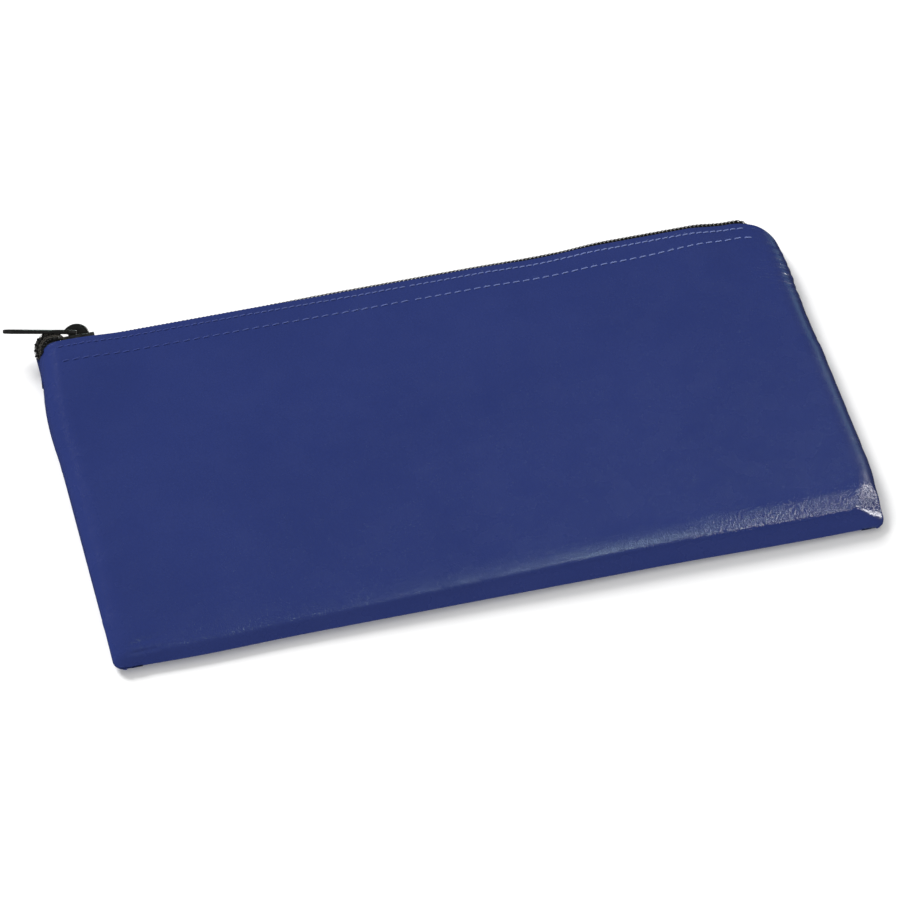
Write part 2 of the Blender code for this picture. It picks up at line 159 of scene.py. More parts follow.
# At the other end it bends down round the corner, and on the way there it bows outwards a little
RIGHT_TURN_X = 126 * MM
RIGHT_TURN_RADIUS = 4 * MM
RIGHT_TURN = math.radians(70)
BOW = 0.8 * MM
BOW_RISE = (57 * MM, 76 * MM)
BOW_FALL = (109 * MM, 122 * MM)

# The slider's crown, in the chain's frame
SLIDER_TOP = 3.6 * MM
CROWN_OUTSIDE = (4.8 * MM, 4.1 * MM)
CROWN_INSIDE = (3.95 * MM, 3.45 * MM)
CROWN_HALF = 1.45 * MM
CROWN_PLATE = (1.18 * MM, 1.36 * MM)
BAR_HOLE = 0.80 * MM

# The camera, at the photograph's viewing angle
CAMERA_TARGET = Vector((-2.45 * MM, -3.26 * MM, 0))
CAMERA_AZIMUTH = math.radians(-14.1)
CAMERA_ELEVATION = math.radians(48.2)
CAMERA_DISTANCE = 1.806
CAMERA_LENS = 201.4
CAMERA_SENSOR = 36

# The lights: name, place, target, size, power and colour. The soft ones light the whole object,
# and the narrow ones only make glints: on the fold, along the right side, and on its corner
WORLD_LIGHT = 0.55
WORLD_REFLECTION = 0.05
SOFT_LIGHTS = (
    ("key", (-1.7, 3.3, 2.7), (0, 0, 0), 1.9, 225, (1, 1, 1)),
    ("fill", (-0.6, -4.5, 1.5), (0, 0, 0), 1.5, 95, (1, 1, 1)),
)
GLINT_LIGHTS = (
    ("shine", (0.355, 0.135, 0.93), (0.13, -0.07, 0), 0.12, 3.4, (0.75, 1, 0.96)),
    ("side_shine", (0.87, 0.65, 0.22), (0.135, 0, 0), 0.3, 0.35, (0.5, 0.95, 1)),
    ("corner_shine", (0.969, 0.115, 0.523), (0.135, -0.07, 0), 0.35, 19, (1, 0.98, 0.93)),
)
FLOOR_SIZE = 6.0


# ---- materials


class Nodes:
    """A material's node tree, with short calls to add a node and link it."""

    def __init__(self, name):
        self.material = bpy.data.materials.new(name)
        self.material.use_nodes = True
        self.tree = self.material.node_tree
        self.shader = self.tree.nodes["Principled BSDF"]

    def add(self, kind, inputs=(), **settings):
        node = self.tree.nodes.new("ShaderNode" + kind)
        for key, value in settings.items():
            setattr(node, key, value)
        for key, value in dict(inputs).items():
            if isinstance(value, bpy.types.NodeSocket):
                self.tree.links.new(value, node.inputs[key])
            else:
                node.inputs[key].default_value = value
        return node

    def set(self, **inputs):
        for key, value in inputs.items():
            socket = self.shader.inputs[key.replace("_", " ")]
            if isinstance(value, bpy.types.NodeSocket):
                self.tree.links.new(value, socket)
            else:
                socket.default_value = value

    def math(self, operation, first, second=0.0):
        return self.add("Math", {0: first, 1: second}, operation=operation).outputs[0]

    def ramp(self, value, low, high, to_low=0.0, to_high=1.0):
        inputs = {"Value": value, "From Min": low, "From Max": high}
        inputs |= {"To Min": to_low, "To Max": to_high}
        return self.add("MapRange", inputs).outputs["Result"]

    def mix(self, share, first, second):
        node = self.add("Mix", {0: share, 6: first, 7: second}, data_type="RGBA")
        return node.outputs[2]

    def place(self):
        return self.add("TexCoord").outputs["Object"]

    def cloth(self):
        """The piece's own flat coordinates, in metres."""
        return self.add("Attribute", attribute_name="cloth").outputs["Vector"]

    def noise(self, where, scale, detail=3.0, rough=0.55):
        inputs = {"Vector": where, "Scale": scale, "Detail": detail, "Roughness": rough}
        return self.add("TexNoise", inputs).outputs["Fac"]

    def bump(self, height, distance, strength=1.0, under=None):
        inputs = {"Height": height, "Distance": distance, "Strength": strength}
        if under is not None:
            inputs["Normal"] = under
        return self.add("Bump", inputs).outputs["Normal"]


def vinyl_material():
    """Navy leather-grained vinyl: pebbled cells with fine creases between them, satin on top."""
    m = Nodes("vinyl")
    where = m.place()
    split = m.add("SeparateXYZ", {0: where})
    x, y = split.outputs[0], split.outputs[1]
    # Cells of leather grain, with wavering edges
    drift = m.add("TexNoise", {"Vector": where, "Scale": 420.0, "Detail": 2.0}).outputs["Color"]
    bent = m.add("VectorMath", {0: drift, 1: (0.0011,) * 3}, operation="MULTIPLY").outputs[0]
    bent = m.add("VectorMath", {0: where, 1: bent}, operation="ADD").outputs[0]
    cells = m.add("TexVoronoi", {"Vector": bent, "Scale": 820.0}, feature="DISTANCE_TO_EDGE")
    creases = m.ramp(cells.outputs["Distance"], 0.0, 0.16)
    pores = m.noise(where, 2600.0, 2.0)
    rolls = m.noise(where, 260.0, 4.0, 0.6)
    grain = m.math("ADD", m.math("MULTIPLY", creases, 0.5), m.math("MULTIPLY", pores, 0.35))

    # Crinkles on the shoulder above the fold, which is also shinier there
    streaks = m.add("VectorMath", {0: where, 1: (620.0, 300.0, 300.0)}, operation="MULTIPLY")
    folds = m.noise(streaks.outputs[0], 1.0, 4.0, 0.62)
    crinkle = m.math("ABSOLUTE", m.math("SUBTRACT", folds, 0.5))
    above = m.ramp(y, FOLD_Y + 2.5 * MM, FOLD_Y + 4 * MM)
    below = m.ramp(y, FOLD_Y + 7 * MM, FOLD_Y + 17 * MM, 1.0, 0.0)
    along = m.math("POWER", m.ramp(x, 0.0, 115 * MM), 1.5)
    on_fold = m.math("MULTIPLY", m.math("MULTIPLY", above, below), along)

    # Fine wrinkles below the mouth's right-hand corner
    corner = (SEAM_X - 7 * MM, 44 * MM, 9 * MM)
    far = m.add("VectorMath", {0: where, 1: corner}, operation="DISTANCE").outputs["Value"]
    lean = m.math("MULTIPLY", m.math("ADD", x, -SEAM_X), 0.25)
    sway = m.math("MULTIPLY", m.noise(where, 120.0, 2.0), 3 * MM)
    path = m.math("ADD", m.math("ADD", y, lean), sway)
    waves = m.math("SINE", m.math("MULTIPLY", path, 2 * math.pi / (1.5 * MM)))
    by_corner = m.math("MULTIPLY", waves, m.ramp(far, 5 * MM, 15 * MM, 1.0, 0.0))

    normal = m.bump(rolls, 0.30 * MM, 0.35)
    normal = m.bump(m.math("MULTIPLY", crinkle, on_fold), 1.3 * MM, 1.0, normal)
    normal = m.bump(by_corner, 0.05 * MM, 0.5, normal)
    normal = m.bump(grain, 0.07 * MM, 0.55, normal)
    patches = m.noise(where, 22.0, 3.0)
    navy, paler = (0.0183, 0.0308, 0.136, 1), (0.0203, 0.0335, 0.145, 1)
    # The grain's creases are mixed towards a darker navy: painted shade in the creases.
    painted_crease_shade = (0.011, 0.018, 0.080, 1)
    colour = m.mix(m.ramp(patches, 0.35, 0.65), navy, paler)
    colour = m.mix(m.ramp(creases, 0.0, 1.0, 0.18, 0.0), colour, painted_crease_shade)
    rough = m.ramp(m.noise(where, 90.0, 3.0), 0.3, 0.7, 0.24, 0.30)
    rough = m.math("SUBTRACT", rough, m.math("MULTIPLY", on_fold, 0.13))
    m.set(Base_Color=colour, Roughness=rough, Normal=normal, Specular_IOR_Level=0.32)
    return m.material


def backing_material():
    """The vinyl's knit backing, inside the bag."""
    m = Nodes("vinyl_backing")
    split = m.add("SeparateXYZ", {0: m.cloth()})
    wales = m.math("SINE", m.math("MULTIPLY", split.outputs[0], 2 * math.pi / (0.8 * MM)))
    courses = m.math("SINE", m.math("MULTIPLY", split.outputs[1], 2 * math.pi / (0.6 * MM)))
    knit = m.math("MULTIPLY", wales, courses)
    fuzz = m.noise(m.place(), 1800.0, 4.0)
    height = m.math("ADD", knit, fuzz)
    dark, light = (0.030, 0.034, 0.055, 1), (0.062, 0.070, 0.105, 1)
    colour = m.mix(m.ramp(height, -0.6, 1.4), dark, light)
    m.set(Base_Color=colour, Roughness=0.95, Sheen_Weight=0.2)
    m.set(Normal=m.bump(height, 0.10 * MM, 0.5))
    return m.material


def tape_material():
    """Black woven polyester tape: a herringbone twill."""
    m = Nodes("tape")
    split = m.add("SeparateXYZ", {0: m.cloth()})
    along, across = split.outputs[0], split.outputs[1]
    zigzag = m.math("PINGPONG", across, 1.1 * MM)
    slanted = m.math("ADD", along, zigzag)
    ribs = m.math("SINE", m.math("MULTIPLY", slanted, 2 * math.pi / (0.62 * MM)))
    yarns = m.math("SINE", m.math("MULTIPLY", across, 2 * math.pi / (0.36 * MM)))
    weave = m.math("ADD", m.math("MULTIPLY", ribs, 0.7), m.math("MULTIPLY", yarns, 0.35))
    weave = m.math("ADD", weave, m.noise(m.place(), 3000.0, 3.0))
    colour = m.mix(m.ramp(weave, -1.0, 1.6), (0.0045, 0.0045, 0.005, 1), (0.020, 0.020, 0.021, 1))
    m.set(Base_Color=colour, Roughness=0.85, Sheen_Weight=0.15)
    m.set(Normal=m.bump(weave, 0.08 * MM, 0.7))
    return m.material


def coil_material():
    """Black monofilament, drawn smooth, with a little dust in its tone."""
    m = Nodes("coil")
    dust = m.noise(m.place(), 900.0, 4.0)
    colour = m.mix(m.ramp(dust, 0.35, 0.75), (0.0055, 0.0055, 0.0055, 1), (0.014, 0.0135, 0.013, 1))
    rough = m.ramp(dust, 0.3, 0.8, 0.45, 0.65)
    m.set(Base_Color=colour, Roughness=rough, Normal=m.bump(dust, 0.02 * MM, 0.4))
    m.set(Specular_IOR_Level=0.2)
    return m.material


def thread_material(name, dark, light, twist=0.45, painted_light_gradient=False):
    """Twisted yarn: plies wind round each stitch. With the light gradient on, its colour is painted
    paler towards +X: painted light, for the lamps catching the stitches on the right.
    """
    m = Nodes(name)
    split = m.add("SeparateXYZ", {0: m.cloth()})
    wound = m.math("ADD", m.math("MULTIPLY", split.outputs[0], 1 / (twist * MM)), split.outputs[1])
    plies = m.math("SINE", m.math("MULTIPLY", wound, 2 * math.pi))
    fuzz = m.noise(m.place(), 4200.0, 3.0)
    height = m.math("ADD", plies, fuzz)
    share = m.ramp(height, -0.5, 1.4)
    if painted_light_gradient:
        # Painted light: the colour runs from dim blue at the left to pale at the right, standing in
        # for the lamps lighting the right-hand stitches.
        x = m.add("SeparateXYZ", {0: m.place()}).outputs[0]
        light = m.mix(m.ramp(x, -90 * MM, 70 * MM), (0.048, 0.072, 0.270, 1), light)
        dark = m.mix(m.ramp(x, -90 * MM, 70 * MM), (0.034, 0.052, 0.205, 1), dark)
    colour = m.mix(share, dark, light)
    m.set(Base_Color=colour, Roughness=0.6, Normal=m.bump(height, 0.05 * MM, 0.6))
    m.set(Sheen_Weight=0.02 if painted_light_gradient else 0.2, Specular_IOR_Level=0.15)
    return m.material


def metal_material(name, paint, bare, roughness):
    """Dark coated metal: orange-peel coating, worn to bare metal along its edges."""
    m = Nodes(name)
    where = m.place()
    peel = m.noise(where, 1500.0, 2.0)
    scuffs = m.noise(where, 700.0, 5.0, 0.7)
    pointed = m.add("NewGeometry").outputs["Pointiness"]
    worn = m.math("MULTIPLY", m.ramp(pointed, 0.54, 0.62), m.ramp(scuffs, 0.42, 0.62))
    colour = m.mix(worn, paint, bare)
    rough = m.ramp(scuffs, 0.3, 0.8, roughness - 0.06, roughness + 0.12)
    m.set(Base_Color=colour, Roughness=rough, Metallic=m.ramp(worn, 0, 1, 0.25, 0.9))
    m.set(Normal=m.bump(peel, 0.02 * MM, 0.3))
    return m.material


def floor_material():
    """Matt white paper."""
    m = Nodes("floor")
    grain = m.noise(m.place(), 40.0, 3.0)
    colour = m.mix(grain, (0.93, 0.93, 0.93, 1), (0.95, 0.95, 0.95, 1))
    m.set(Base_Color=colour, Roughness=0.9, Specular_IOR_Level=0.1)
    return m.material


VINYL_SKIN = vinyl_material()
BACKING = backing_material()
TAPE_CLOTH = tape_material()
COIL_PLASTIC = coil_material()
CORD_YARN = thread_material("cord", (0.006, 0.006, 0.006, 1), (0.02, 0.02, 0.02, 1), 0.7)
# The front sewing thread gets the painted light gradient: it is painted paler towards +X.
SEWING = thread_material("thread", (0.075, 0.105, 0.290, 1), (0.290, 0.365, 0.700, 1), painted_light_gradient=True)
COIL_SEWING = thread_material("coil_thread", (0.008, 0.008, 0.008, 1), (0.14, 0.125, 0.10, 1))
COATED = metal_material("metal", (0.016, 0.016, 0.015, 1), (0.16, 0.16, 0.155, 1), 0.30)
SPRING = metal_material("spring", (0.30, 0.30, 0.29, 1), (0.45, 0.45, 0.44, 1), 0.28)


# ---- mesh helpers


def smooth_step(value, low, high):
    share = np.clip((value - low) / (high - low), 0, 1)
    return share * share * (3 - 2 * share)


def bell(value, middle, width):
    return np.exp(-(((value - middle) / width) ** 2))


def noise_over(x, y, scale_x, scale_y, seed, octaves=3):
    """Smooth noise from about -1 to 1 over two arrays of the same shape."""
    flat = np.empty(x.size)
    for i, (a, b) in enumerate(zip((x / scale_x).ravel(), (y / scale_y).ravel())):
        flat[i] = noise.fractal(Vector((a, b, seed)), 1.0, 2.0, octaves)
    return flat.reshape(x.shape)


def grid_normals(points):
    """Unit normals of a grid of points, from the cross product of its two directions."""
    normals = np.cross(np.gradient(points, axis=1), np.gradient(points, axis=0))
    size = np.linalg.norm(normals, axis=2, keepdims=True)
    return normals / np.maximum(size, 1e-12)


def make_piece(name, verts, faces, materials, face_slots=None, cloth=None, normals=None):
    mesh = bpy.data.meshes.new(name)
    mesh.from_pydata([tuple(v) for v in verts], [], faces)
    for material in materials:
        mesh.materials.append(material)
    if face_slots is not None:
        mesh.polygons.foreach_set("material_index", np.asarray(face_slots, np.int32))
    mesh.shade_smooth()
    if cloth is not None:
        attribute = mesh.attributes.new("cloth", "FLOAT_VECTOR", "POINT")
        attribute.data.foreach_set("vector", np.asarray(cloth, np.float32).ravel())
    if normals is not None:
        mesh.normals_split_custom_set_from_vertices([tuple(n) for n in normals])
    obj = bpy.data.objects.new(name, mesh)
    bpy.context.scene.collection.objects.link(obj)
    return obj


def thick_sheet(name, outer, normals, thickness, cloth, materials, rims=(True, True, True, True)):
    """A sheet from its outer face's grid of points, thickened inwards along the normals.

    rims says which edges are closed: first row, last row, first column, last column. A second
    material goes on the inner face, away from the edges.
    """
    rows, cols = outer.shape[:2]
    inner = outer - normals * thickness
    verts = np.concatenate([outer.reshape(-1, 3), inner.reshape(-1, 3)])
    both = np.concatenate([normals.reshape(-1, 3), -normals.reshape(-1, 3)])
    number = np.arange(rows * cols).reshape(rows, cols)
    under = number + rows * cols
    a, b = number[:-1, :-1].ravel(), number[:-1, 1:].ravel()
    c, d = number[1:, 1:].ravel(), number[1:, :-1].ravel()
    top = np.stack([a, b, c, d], 1)
    bottom = np.stack([d, c, b, a], 1) + rows * cols
    edges = [(number[0, ::-1], under[0, ::-1]), (number[-1], under[-1])]
    edges += [(number[:, 0], under[:, 0]), (number[::-1, -1], under[::-1, -1])]
    walls = []
    for closed, (upper, lower) in zip(rims, edges):
        if closed:
            walls.append(np.stack([upper[:-1], upper[1:], lower[1:], lower[:-1]], 1))
    walls = np.concatenate(walls) if walls else np.empty((0, 4), int)
    faces = np.concatenate([top, bottom, walls])
    lining = np.zeros((rows - 1, cols - 1), int)
    if len(materials) > 1:
        from_row, from_col = LINING_FROM
        lining[from_row:, from_col:-from_col] = 1
    slots = [0] * len(top) + lining.ravel().tolist() + [0] * len(walls)
    flat = np.concatenate([cloth.reshape(-1, 3)] * 2)
    return make_piece(name, verts, faces.tolist(), materials, slots, flat, both)


def beside(ahead):
    """Unit vectors across a path, carried along it without twisting."""
    side = np.cross(ahead[0], (0.31, 0.52, 0.79))
    sides = np.empty_like(ahead)
    for i, forward in enumerate(ahead):
        side = side - forward * (side @ forward)
        side = side / math.sqrt(side @ side)
        sides[i] = side
    return sides


def tubes(name, paths, radius, sides, material):
    """Round tubes along paths of points, all in one piece, with slightly drawn-in ends."""
    verts, faces, cloth, first = [], [], [], 0
    turn = 2 * np.pi * np.arange(sides) / sides
    for path in paths:
        path = np.asarray(path, float)
        ahead = np.gradient(path, axis=0)
        ahead /= np.linalg.norm(ahead, axis=1, keepdims=True)
        one = beside(ahead)
        two = np.cross(ahead, one)
        size = np.full(len(path), radius)
        size[[0, -1]] *= 0.55
        across, up = np.cos(turn)[None, :, None], np.sin(turn)[None, :, None]
        ring = one[:, None] * across + two[:, None] * up
        verts.append((path[:, None] + ring * size[:, None, None]).reshape(-1, 3))
        length = np.concatenate([[0], np.cumsum(np.linalg.norm(np.diff(path, axis=0), axis=1))])
        around = np.tile(np.arange(sides) / sides, len(path))
        cloth.append(np.stack([np.repeat(length, sides), around, 0 * around], 1))
        number = first + np.arange(len(path) * sides).reshape(len(path), sides)
        after = np.roll(number, -1, axis=1)
        quads = np.stack([number[:-1], after[:-1], after[1:], number[1:]], 2)
        faces += quads.reshape(-1, 4).tolist()
        faces += [number[0, ::-1].tolist(), number[-1].tolist()]
        first += len(path) * sides
    return make_piece(name, np.concatenate(verts), faces, [material], None, np.concatenate(cloth))


def finish_piece(obj, nodes, body=None):
    """Hides the CAD nodes that a piece stands for, and parents the piece to its body's empty, or
    bakes its transform into its mesh.
    """
    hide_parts(*nodes)
    if body:
        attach(obj, body)
        return
    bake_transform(obj)


# ---- the vinyl panels


def corner_cut(x):
    """How far the mouth's edge drops back towards the fold at x."""
    along = np.where(x < 0, CORNER_LEFT[0], CORNER_RIGHT[0])
    down = np.where(x < 0, CORNER_LEFT[1], CORNER_RIGHT[1])
    past = np.clip((np.abs(x) - (SEAM_X - along)) / along, 0, 1)
    return down * (1 - np.sqrt(1 - past**2))


def hem_lift(x):
    """How far the hem stands off its straight line: propped by the slider, sagging, then bowed."""
    propped = 1 - smooth_step(x, -124 * MM, -104 * MM)
    sag = bell(x, 46 * MM, 14 * MM)
    bowed = smooth_step(x, 56 * MM, 74 * MM)
    dropped = smooth_step(x, 106 * MM, 122 * MM)
    uncovering = smooth_step(x, -60 * MM, -25 * MM)
    return (0.7 * propped - 0.2 * uncovering - 0.5 * sag + 0.35 * bowed - 1.1 * dropped) * MM


def mouth_edge(x):
    """y of the mouth's edge, before the corners are cut."""
    wave = noise_over(x, 0 * x, 23 * MM, 1, 4.0, 2)
    return MOUTH_EDGE_Y + 0.4 * hem_lift(x) + 0.10 * MM * wave


def from_to(ends, share):
    """The value that far from the first of two ends to the second."""
    return ends[0] + (ends[1] - ends[0]) * share


def front_top(x, y):
    """Height of the front panel's outer face, before its walls turn down."""
    at_fold = from_to(FOLD_HEIGHT, smooth_step(x, -SEAM_X, 0.6 * SEAM_X))
    share = np.clip((y - FOLD_Y) / (MOUTH_FLAT_Y - FOLD_Y), 0, 1)
    share = 1 - (1 - share) ** 1.6
    at_mouth = MOUTH_HEIGHT + 1.1 * hem_lift(x) * smooth_step(y, 30 * MM, 68 * MM)
    return at_fold + (at_mouth - at_fold) * share


def side_columns():
    """(x, lift, roll) from the left allowance to the right one. roll is the way round the seam."""
    wall = [math.pi / 2 * i / 14 for i in range(15)]
    half = [(SEAM_X - SIDE_ROUND + SIDE_ROUND * math.sin(a), math.cos(a), 0.0) for a in wall]
    roll = [math.pi / 2 * i / 4 for i in range(1, 5)]
    half += [(SEAM_X - SEAM_ROLL * (1 - math.cos(a)), 0.0, -SEAM_ROLL * math.sin(a)) for a in roll]
    half += [(SEAM_X - SEAM_ROLL - ALLOWANCE * i / 3, 0.0, -SEAM_ROLL) for i in range(1, 4)]
    middle = SEAM_X - SIDE_ROUND
    count = 2 * int(middle / COLUMN_STEP)
    flat = [(x, 1.0, 0.0) for x in np.linspace(-middle, middle, count + 1)[1:-1]]
    return np.array([(-x, lift, roll) for x, lift, roll in reversed(half)] + flat + half)


def drawn_in(x, y):
    """x moved in where the sides taper to the mouth and the fold, and at the bottom corners."""
    radius = np.where(x < 0, FOLD_CORNERS[0], FOLD_CORNERS[1])
    into = np.clip((FOLD_Y + radius - y) / radius, 0, 1)
    cut = radius * (1 - np.sqrt(1 - into**2))
    left = 1.9 * MM * smooth_step(y, 46 * MM, 72 * MM) - 0.6 * MM * bell(y, 36 * MM, 12 * MM)
    right = 1.9 * MM * (1 - smooth_step(y, FOLD_Y, FOLD_Y + 29 * MM))
    right = right + 0.5 * MM * smooth_step(y, 0, 20 * MM) * (1 - smooth_step(y, 35 * MM, 50 * MM))
    right = right + 0.5 * MM * smooth_step(y, 55 * MM, 70 * MM)
    cut = cut + np.where(x < 0, left, right)
    return x - np.sign(x) * cut * smooth_step(np.abs(x), SEAM_X - 24 * MM, SEAM_X)


def flared(x, y):
    """y moved out where the fold bulges at its right end, and a little at its left end."""
    bulge = FOLD_FLARE[1] * smooth_step(x, 50 * MM, 120 * MM)
    bulge = bulge + FOLD_FLARE[0] * bell(x, -108 * MM, 22 * MM)
    return y - bulge * (1 - smooth_step(y, FOLD_Y, FOLD_Y + 10 * MM))


def shaped_y(x, y, roll, shift=0):
    """y with the mouth's corners rounded off and the fold's ends flared."""
    edge_x = np.where(np.abs(roll) > 0, np.sign(x) * SEAM_X, x)
    near_mouth = np.clip((y - (MOUTH_EDGE_Y - CORNER_FADE)) / CORNER_FADE, 0, 1)
    return flared(x, y + shift - corner_cut(edge_x) * near_mouth**CORNER_EASE)


def seam_height(x, y):
    """Height of the line where the two panels meet, from the fold to the side seams."""
    fold = from_to(FOLD_SEAM_Z, smooth_step(x, -100 * MM, 110 * MM))
    return fold + (SEAM_Z - fold) * smooth_step(y, FOLD_Y, FOLD_Y + 18 * MM)


def fold_wall(round_, count, crown=0.0):
    """(distance in from the fold, lift) of a steep wall with a rounded foot and a tight shoulder.

    crown is the share of the height that the sheet gains past the shoulder, in a gentle curve.
    """
    share = (np.arange(count + 1) / count) ** 1.4
    reach = round_ * share
    if crown:
        reach = np.concatenate([reach, np.linspace(round_, FOLD_CROWN_Y, 10)[1:]])
        share = reach / round_
    climb = FOLD_SLOPE * np.sqrt(share * (share + 2 * FOLD_FOOT))
    lift = -np.log(np.exp(-FOLD_SHOULDER * climb) + math.exp(-FOLD_SHOULDER)) / FOLD_SHOULDER
    gentle = 1 - (1 - np.clip(reach / FOLD_CROWN_Y, 0, 1)) ** 2
    return list(zip(reach, np.clip((1 - crown) * lift + crown * gentle, 0, 1)))


def front_rows():
    """(y, lift, turn in y, turn in z) from the fold to the end of the turned-in hem."""
    wall = fold_wall(FOLD_ROUND, 26, FOLD_CROWN)
    rows = [(FOLD_Y + distance, lift, 0.0, 0.0) for distance, lift in wall]
    start, hem = FOLD_Y + FOLD_CROWN_Y, MOUTH_EDGE_Y - HEM_ROWS_FROM
    count = int((hem - start) / ROW_STEP)
    rows += [(y, 1.0, 0.0, 0.0) for y in np.linspace(start, hem, count + 1)[1:]]
    count = int((HEM_ROWS_FROM - HEM_TURN) / HEM_STEP)
    rows += [(y, 1.0, 0.0, 0.0) for y in np.linspace(hem, MOUTH_EDGE_Y - HEM_TURN, count + 1)[1:]]
    turn = [math.pi * i / 8 for i in range(1, 9)]
    last = MOUTH_EDGE_Y - HEM_TURN
    rows += [(last, 1.0, HEM_TURN * math.sin(a), -HEM_TURN * (1 - math.cos(a))) for a in turn]
    back = [HEM_DEPTH * i / 8 for i in range(1, 9)]
    return np.array(rows + [(last - b, 1.0, 0.0, -2 * HEM_TURN) for b in back])


def hem_row(x):
    """How far the lower row of stitches runs back from the edge: the two rows draw together."""
    return from_to(HEM_ROW, smooth_step(x, 80 * MM, 130 * MM))


def stitch_row_line(x, back):
    """y of a stitch row that runs back from the mouth's edge."""
    return mouth_edge(x) - corner_cut(x) - back


def front_relief(x, y):
    """Dents, puckers and creases in the front panel, in metres along its normal."""
    from_side = SEAM_X - np.abs(x)
    total = 0.22 * MM * noise_over(x, y, 75 * MM, 45 * MM, 1.0, 2)

    # The stitch rows pull the vinyl down, most of all at their holes, and it puckers beside them
    from_edge = stitch_row_line(x, 0) - y
    for row, depth in ((EDGE_ROW, 0.16), (hem_row(x), 0.14)):
        near = from_edge - row
        hole = np.cos(np.pi * (x - ROW_ENDS[0]) / STITCH) ** 16
        total -= depth * MM * bell(near, 0, 0.65 * MM) * (0.55 + 0.75 * hole)
        pucker = np.sin(2 * np.pi * x / STITCH + near / (1.2 * MM))
        total += 0.035 * MM * pucker * bell(near, 0, 2.2 * MM)

    # The hem ripples, and so does the vinyl along the side seams
    ripple = noise_over(x, y, 5.5 * MM, 9 * MM, 2.0, 3)
    total += 0.07 * MM * ripple * bell(from_edge, 5 * MM, 5 * MM)
    seam = noise_over(x, y, 30 * MM, 6 * MM, 3.0, 3)
    total += 0.20 * MM * seam * np.exp(-np.maximum(from_side, 0) / (7 * MM))

    # Wrinkles fan out from the side below the mouth's right-hand corner
    fan = y + 0.10 * (x - SEAM_X) + 6 * MM * (from_side / (30 * MM)) ** 2
    fan_sway = 1.5 * noise_over(x, y, 14 * MM, 8 * MM, 5.0, 2)
    fan_wave = np.sin(2 * np.pi * fan / (4.2 * MM) + fan_sway)
    fan_place = np.where(x > 0, np.exp(-np.maximum(from_side - 3 * MM, 0) / (8 * MM)), 0)
    total += 0.14 * MM * fan_wave * fan_place * bell(y, 44 * MM, 14 * MM)

    # The fold's shoulder is crinkled, more towards the right, and its left end has two creases
    crinkle = noise_over(x, y, 2.4 * MM, 5.2 * MM, 6.0, 4)
    shoulder = bell(y, FOLD_Y + 8 * MM, 5 * MM) * smooth_step(x, 10 * MM, 100 * MM)
    total += 0.12 * MM * crinkle * shoulder
    for crease_x, crease_y, slope in CREASES:
        line = y - crease_y - slope * (x - crease_x)
        place = bell(x, crease_x, 6 * MM) * bell(line, 0, 0.8 * MM)
        total -= 0.32 * MM * place * (1 + 0.9 * crinkle)
    return total


def soft_min(first, second, width):
    """The lower of two heights, rounded where they cross."""
    apart = (first - second) / (2 * width)
    return (first + second) / 2 - width * np.sqrt(apart**2 + SOFT_CORE)


def corner_facet(x, y):
    """The flat facet that the fold's right-hand corner is pinched to."""
    (at_x, at_y, at_z), (slope_x, slope_y) = FACET
    return at_z + slope_x * (x - at_x) + slope_y * (y - at_y)


def front_grid():
    """Outer face and cloth coordinates of the front panel, as arrays of rows by columns."""
    rows, cols = front_rows(), side_columns()
    y, lift_y, turn_y, turn_z = (rows[:, i][:, None] for i in range(4))
    x, lift_x, roll = (cols[:, i][None, :] for i in range(3))
    y, x = np.broadcast_arrays(y, x)
    shift = (mouth_edge(x[0]) - MOUTH_EDGE_Y)[None, :] * smooth_step(y, 20 * MM, 66 * MM)
    world_y = shaped_y(x, y, roll, shift)
    apart = np.maximum(smooth_step(y, FOLD_Y, FOLD_Y + 6 * MM), 1 - lift_x)
    seam = seam_height(x, y) + (SEAM_ROLL + 0.02 * MM) * apart
    z = seam + (front_top(x, world_y) - seam) * lift_x * lift_y
    z = z + roll * apart
    pinched = soft_min(z, corner_facet(x, y), FACET_ROUND)
    z = np.where(x > FACET_FROM_X * SEAM_X, pinched, z)
    room = z - SEAM_Z - 0.1 * MM
    z = z + np.maximum(turn_z, -np.maximum(room, 0))
    points = np.stack([drawn_in(x, y), world_y + turn_y, z], 2)
    normals = grid_normals(points)
    relief = front_relief(x, world_y) * np.where(turn_z < 0, 0.0, 1.0)
    fade = np.where(np.abs(roll) > 0, 0.0, 1.0) * smooth_step(y, FOLD_Y, FOLD_Y + 4 * MM)
    points = points + normals * (relief * fade)[:, :, None]
    cloth = np.stack([x, y, 0 * x], 2)
    return points, cloth


def flat_size(points):
    """Width and length of a grid of points, measured along its middle row and middle column."""
    lines = points[points.shape[0] // 2], points[:, points.shape[1] // 2]
    return tuple(float(np.linalg.norm(np.diff(line, axis=0), axis=1).sum()) for line in lines)


def make_front_panel():
    """The front panel as two sheets that meet in the middle. Returns its outer face's points."""
    points, cloth = front_grid()
    normals = grid_normals(points)
    middle = points.shape[1] // 2
    skins = [VINYL_SKIN, BACKING]
    halves = {"vinyl_front_left": slice(None, middle + 1), "vinyl_front_right": slice(middle, None)}
    for name, part in halves.items():
        half = thick_sheet(name, points[:, part], normals[:, part], VINYL, cloth[:, part], skins)
        finish_piece(half, ["front_panel"])
        flat_size(points[:, part])
    return points


def lip_middle():
    """The centre that the back tape and the back panel's lip both bend round, as (y, z)."""
    place = CHAIN_ORIGIN + BACK_BEND[0] * AXIS_BACK + (TAPE_Z - BACK_BEND[1]) * AXIS_OUT
    return place[1], place[2]


LIP_RADIUS = lip_middle()[1]


